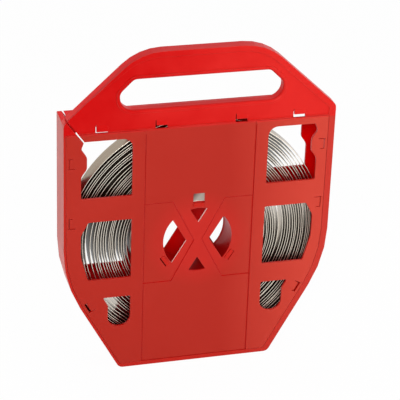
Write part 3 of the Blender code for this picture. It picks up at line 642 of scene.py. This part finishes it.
@dataclass
class StrapCoil:
    """One long strip wound loosely into a flat coil, its turns uneven and its inner end near the hub."""

    turns: int = 29
    inner_radius: float = 61.0 * MM
    outer_radius: float = 147.4 * MM
    width: float = 19.0 * MM
    thickness: float = 0.7 * MM
    steps: int = 96
    end_angle: float = math.radians(172.0)
    hook_angle: float = math.radians(101.0)
    hook_radius: float = 46.6 * MM
    hook_drop: float = 5.8 * MM
    tip_length: float = 60.0 * MM
    sway: float = 1.4 * MM
    sway_rates: tuple = (0.83, 0.37)
    twist: float = 0.1
    fast_twist: float = 3.0
    least_gap: float = 0.25
    gap_steps: int = 16
    gap_spokes: int = 120
    hook_steps: int = 90
    corner_steps: tuple = (0.0, 0.12 * MM, 0.24 * MM, 0.6 * MM)
    corner_thickness: float = 0.5
    rim_fade: float = 0.15
    inner_shelter: float = 0.06
    outermost_light: float = 0.8
    outermost_fade: float = 0.04
    sharp_angle: float = math.radians(50.0)
    waves: tuple = (
        Wave(0.07, 1, 0.18, 0.4),
        Wave(0.13, 0, 0.14, 2.1),
        Wave(0.19, -1, 0.26, 4.4),
        Wave(0.29, 2, 0.26, 1.3),
        Wave(0.41, -2, 0.14, 3.0),
        Wave(0.47, 1, 0.09, 5.6),
    )

    def radius(self, turn: np.ndarray, angle: np.ndarray, shift: float) -> np.ndarray:
        """Distance from the hub: a running sum of uneven gaps, so that turns never cross.

        The gap between turns is the exponential of a few cosines of turn and angle. Summed from the
        inside out and scaled to the room at each angle, it gives the radius.

        Args:
            turn: place along the strip in turns from the inner end.
            angle: place round the hub in radians.
            shift: change of the cosines' phases, which tells the front edge from the rear one.

        Returns:
            The radius for each place.
        """
        rows, spokes = self.turns * self.gap_steps, self.gap_spokes
        level, spoke = np.meshgrid(np.arange(rows + 1) / self.gap_steps,
                                   np.arange(spokes) * math.tau / spokes, indexing="ij")
        gap = np.zeros_like(level)
        for wave in self.waves:
            turned = wave.phase + shift * (1 + self.fast_twist * wave.often)
            gap += wave.strength * np.cos(math.tau * wave.often * level + wave.lobes * spoke + turned)
        gap = np.exp(gap) + self.least_gap
        run = np.concatenate([np.zeros((1, spokes)), np.cumsum((gap[1:] + gap[:-1]) / 2, axis=0)])
        run /= run[-1]
        run = np.concatenate([run, run[:, :1]], axis=1)
        down = turn * self.gap_steps
        across = (angle % math.tau) / math.tau * spokes
        i, j = np.minimum(down.astype(int), rows - 1), np.minimum(across.astype(int), spokes - 1)
        a, b = down - i, across - j
        share = ((run[i, j] * (1 - a) + run[i + 1, j] * a) * (1 - b)
                 + (run[i, j + 1] * (1 - a) + run[i + 1, j + 1] * a) * b)
        return self.inner_radius + (self.outer_radius - self.inner_radius) * share

    def inner_end(self) -> tuple[np.ndarray, np.ndarray]:
        """Inner end of the strip: a spiral from the hub out to the coil, drawn forward near its tip.

        The radius rises from the hub to the first turn as a smooth step of the angle, and the forward
        shift falls off by the same step.

        Returns:
            The x, z points from the tip, ending just before the first turn, and their shifts in y.
        """
        sweep = (self.end_angle - self.hook_angle) % math.tau
        share = np.linspace(0.0, 1.0, self.hook_steps)[:-1]
        step = share ** 2 * (3 - 2 * share)
        angle = self.hook_angle - share * (math.tau - sweep)
        radius = self.hook_radius + (self.inner_radius - self.hook_radius) * step
        return np.stack([radius * np.cos(angle), radius * np.sin(angle)], 1), -self.hook_drop * (1 - step)

    def section(self) -> tuple[np.ndarray, np.ndarray, np.ndarray, np.ndarray]:
        """Outline of the strip across its width: a flat bar with slightly broken corners.

        Returns:
            Place across the width from -1 to 1, place through the thickness from -1 to 1, how much of
            the bright slit edge shows there, and how much its neighbours shelter it from light.
        """
        steps = 1.0 - 2 * np.array(self.corner_steps) / self.width
        half = np.concatenate([-steps, steps[::-1]])
        rim = np.zeros(len(half))
        rim[[1, -2]] = self.rim_fade
        rim[[0, -1]] = 1.0
        through = np.where(rim == 1.0, self.corner_thickness, 1.0)
        across = np.concatenate([half, half[::-1]])
        shelter = np.concatenate([1.0 - rim, (1.0 - rim) * self.inner_shelter])
        return across, np.concatenate([through, -through]), np.tile(rim, 2), shelter

    def lines(self) -> tuple[np.ndarray, np.ndarray, np.ndarray, np.ndarray]:
        """Lines of the strip's front and rear edges, from its tip at the hub to its outer end.

        Returns:
            The turn at each step, the x, z points of the front and the rear edge from the hub's axis,
            and the place in y of the strip's middle.
        """
        turn = np.linspace(0.0, self.turns, self.turns * self.steps + 1)
        angle = self.end_angle + math.tau * (self.turns - turn)
        spoke = np.stack([np.cos(angle), np.sin(angle)], 1)
        hook, shift_in = self.inner_end()
        front, rear = (np.concatenate([hook, spoke * self.radius(turn, angle, shift)[:, None]])
                       for shift in (0.0, self.twist))
        rise = np.concatenate([np.zeros(len(hook)), turn])
        middle = self.sway * np.mean([np.sin(rate * math.tau * rise) for rate in self.sway_rates], axis=0)
        middle[:len(hook)] += shift_in
        return rise, front, rear, middle

    def surface(self, front: np.ndarray, rear: np.ndarray, middle: np.ndarray) -> np.ndarray:
        """Carry the section along the lines.

        A point is the line at its depth, moved by its share of the thickness along the line's normal.

        Args:
            front: x, z points of the front edge.
            rear: x, z points of the rear edge.
            middle: place in y of the strip's middle.

        Returns:
            An array of steps by points of the section by x, y, z.
        """
        across, through, _, _ = self.section()
        lean = ((across + 1) / 2)[None, :, None]
        line = front[:, None] * (1 - lean) + rear[:, None] * lean
        tangent = np.gradient(line, axis=0)
        tangent /= np.linalg.norm(tangent, axis=-1, keepdims=True)
        normal = np.stack([-tangent[..., 1], tangent[..., 0]], -1)
        flat = line + normal * (through * self.thickness / 2)[None, :, None]
        depth = middle[:, None] + across * self.width / 2
        return np.stack([flat[..., 0], depth, flat[..., 1] + HUB_HEIGHT], -1)

    def marks(self, rise: np.ndarray, length: np.ndarray) -> dict[str, np.ndarray]:
        """Shares for the finish at each point: slit edge, shelter by other turns and nearness of the tip.

        Args:
            rise: the turn at each step.
            length: metres from the tip at each step.

        Returns:
            The marks by name, a number a point.
        """
        _, _, rim, shelter = self.section()
        at_hub = np.arange(len(rise)) < len(rise) - self.turns * self.steps - 1
        into_last = np.clip(rise - (self.turns - 1.0), 0.0, self.outermost_fade) / self.outermost_fade
        open_to_light = np.where(at_hub, 1.0, into_last * self.outermost_light)
        sheltered = (1.0 - open_to_light)[:, None] * shelter
        tip = np.clip(1.0 - length / self.tip_length, 0.0, 1.0)
        return {"slit_edge": np.tile(rim, len(rise)), "sheltered": sheltered.ravel(),
                "tip": np.repeat(tip, len(rim))}

    def build(self) -> bpy.types.Object:
        """Wind the strip: its surface with both ends closed, its marks and its UV map.

        Returns:
            The coil's object.
        """
        rise, front, rear, middle = self.lines()
        points = self.surface(front, rear, middle)
        count, columns, _ = points.shape
        last = (count - 1) * columns
        ends = (range(columns), range(last + columns - 1, last - 1, -1))
        coil = mesh_object("loose_banding", points.reshape(-1, 3), tube_faces(count, columns), ends)
        length = np.concatenate([[0.0], np.cumsum(np.linalg.norm(np.diff(front, axis=0), axis=1))])
        for name, shares in self.marks(rise, length).items():
            layer = coil.data.attributes.new(name, "FLOAT", "POINT")
            layer.data.foreach_set("value", shares.astype(np.float32))
        self.unwrap(coil.data, length, columns)
        LOG.info("banding: %.1f m in %d turns", length[-1], self.turns)
        return coil

    @staticmethod
    def unwrap(mesh: bpy.types.Mesh, length: np.ndarray, columns: int) -> None:
        """Write the UV map: metres along the strip and place round its section."""
        corner = np.empty(len(mesh.loops), np.int32)
        mesh.loops.foreach_get("vertex_index", corner)
        uv = np.stack([length[corner // columns], (corner % columns) / columns], -1)
        layer = mesh.uv_layers.new(name="strip")
        layer.data.foreach_set("uv", uv.astype(np.float32).ravel())

    def fit(self, finish: RolledSteel) -> None:
        """Build, dress and let it stand for the turned coil of the frame."""
        coil = self.build()
        dress(coil, finish.material(), Body.COIL)
        coil.data.set_sharp_from_angle(angle=self.sharp_angle)
        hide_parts("strap_coil")
        LOG.info("coil: %d faces on body %s", len(coil.data.polygons), Body.COIL.value)


@dataclass
class CaseShells:
    """The two moulded shells of the frame, which keep their shapes and get the plastic's finish."""

    finishes: tuple = (
        ("rear_shell", MouldedPlastic("shell_red", body=tint(186, 34, 24), lit_from_right=tint(194, 52, 42),
                                      specular=0.1)),
        ("front_cover", MouldedPlastic("cover_red")),
    )

    def fit(self, frame: dict) -> None:
        """Put the plastic on both shells; the case is a little brighter than the cover."""
        for name, finish in self.finishes:
            mesh = frame["nodes"][name].data
            mesh.materials.clear()
            mesh.materials.append(finish.material())
            LOG.info("shell: %s, %d faces on body %s in slot %s", name, len(mesh.polygons),
                     Body.CASE.value, Slot.PLASTIC.value)


@dataclass(frozen=True)
class Lamp:
    """A soft square lamp: its place, its side in metres and its power in watts."""

    name: str
    place: tuple
    side: float
    power: float


@dataclass
class Studio:
    """White surroundings, soft lamps and the camera."""

    pale: tuple = (0.9, 0.9, 0.9, 1.0)
    ambient: float = 0.32
    floor_glow: float = 0.97
    floor_size: float = 12.0
    camera_place: tuple = (-0.4838, -1.7385, 1.1167)
    right: tuple = (0.96637, -0.25507, 0.03264)
    up: tuple = (0.08798, 0.44721, 0.89010)
    forward: tuple = (0.24163, 0.85730, -0.45461)
    lens: float = 164.25
    sensor_width: float = 36.0
    lit_place: tuple = (0.0, 0.0, 0.2)
    nearly_up: tuple = (0.0, 0.001, 1.0)
    lamps: tuple = (
        Lamp("front", (-0.75, -2.3, 1.7), 1.0, 44.0),
        Lamp("right", (1.6, -1.3, 0.9), 1.2, 12.0),
        Lamp("top", (0.1, 0.3, 2.1), 1.8, 12.0),
    )

    def world(self) -> None:
        """White surroundings: full white where seen or reflected, a softer level as light."""
        world = bpy.data.worlds.new("white_room")
        bpy.context.scene.world = world
        board = Board(world)
        light = board.node("ShaderNodeBackground", None, {"Color": WHITE, "Strength": self.ambient})
        seen = board.node("ShaderNodeBackground", None, {"Color": WHITE, "Strength": 1.0})
        mix = board.node("ShaderNodeMixShader", None,
                         {0: self.seen_or_mirrored(board), 1: light.outputs[0], 2: seen.outputs[0]})
        board.node("ShaderNodeOutputWorld", None, {"Surface": mix.outputs[0]})

    @staticmethod
    def seen_or_mirrored(board: Board) -> Value:
        """1 where the camera or a reflection looks, 0 for light that falls on the case."""
        path = board.node("ShaderNodeLightPath")
        seen = Value(board, path.outputs["Is Camera Ray"])
        return (seen + Value(board, path.outputs["Is Glossy Ray"])).clamped()

    def floor(self) -> None:
        """A plain pale floor that shows white and keeps a faint shadow."""
        half = self.floor_size / 2
        points = np.array([(-half, -half, 0.0), (half, -half, 0.0), (half, half, 0.0), (-half, half, 0.0)])
        floor = mesh_object("floor", points, np.array([[0, 1, 2, 3]]))
        board = Board.material("floor_white")
        plain = board.node("ShaderNodeBsdfDiffuse", None, {"Color": self.pale})
        glow = board.node("ShaderNodeEmission", None, {"Color": WHITE, "Strength": 1.0})
        share = self.seen_or_mirrored(board) * self.floor_glow
        mix = board.node("ShaderNodeMixShader", None, {0: share, 1: plain.outputs[0], 2: glow.outputs[0]})
        board.node("ShaderNodeOutputMaterial", None, {"Surface": mix.outputs[0]})
        floor.data.materials.append(board.owner)

    def light(self) -> None:
        """Soft square lamps that face the middle of the case."""
        for lamp in self.lamps:
            data = bpy.data.lights.new(lamp.name, "AREA")
            data.size = lamp.side
            data.energy = lamp.power
            obj = bpy.data.objects.new(lamp.name, data)
            obj.location = lamp.place
            obj.rotation_mode = "QUATERNION"
            obj.rotation_quaternion = self.aim(np.array(lamp.place) - np.array(self.lit_place))
            bpy.context.scene.collection.objects.link(obj)

    def aim(self, back: np.ndarray) -> Quaternion:
        """Rotation of a lamp whose back points along a vector: z is back, x level and y completes them."""
        z = back / np.linalg.norm(back)
        x = np.cross(self.nearly_up, z)
        x /= np.linalg.norm(x)
        y = np.cross(z, x)
        return Matrix(np.stack([x, y, z], 1).tolist()).to_quaternion()

    def camera(self) -> None:
        """The camera at the photograph's viewing angle."""
        data = bpy.data.cameras.new("view")
        data.sensor_width = self.sensor_width
        data.lens = self.lens
        obj = bpy.data.objects.new("view", data)
        turn = np.stack([self.right, self.up, -np.array(self.forward)], 1)
        obj.matrix_world = Matrix.Translation(self.camera_place) @ Matrix(turn.tolist()).to_4x4()
        bpy.context.scene.collection.objects.link(obj)
        bpy.context.scene.camera = obj

    def fit(self) -> None:
        """Set the whole studio up."""
        bpy.context.scene.view_settings.view_transform = "Standard"
        self.world()
        self.floor()
        self.light()
        self.camera()
        LOG.info("studio: %d lamps", len(self.lamps))


def main() -> None:
    """Load the frame, then build and report the pieces in order."""
    logging.basicConfig(level=logging.INFO, format="%(name)s %(message)s")
    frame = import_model()
    Studio().fit()
    CaseShells().fit(frame)
    StrapCoil().fit(RolledSteel())


if __name__ == "__main__":
    main()
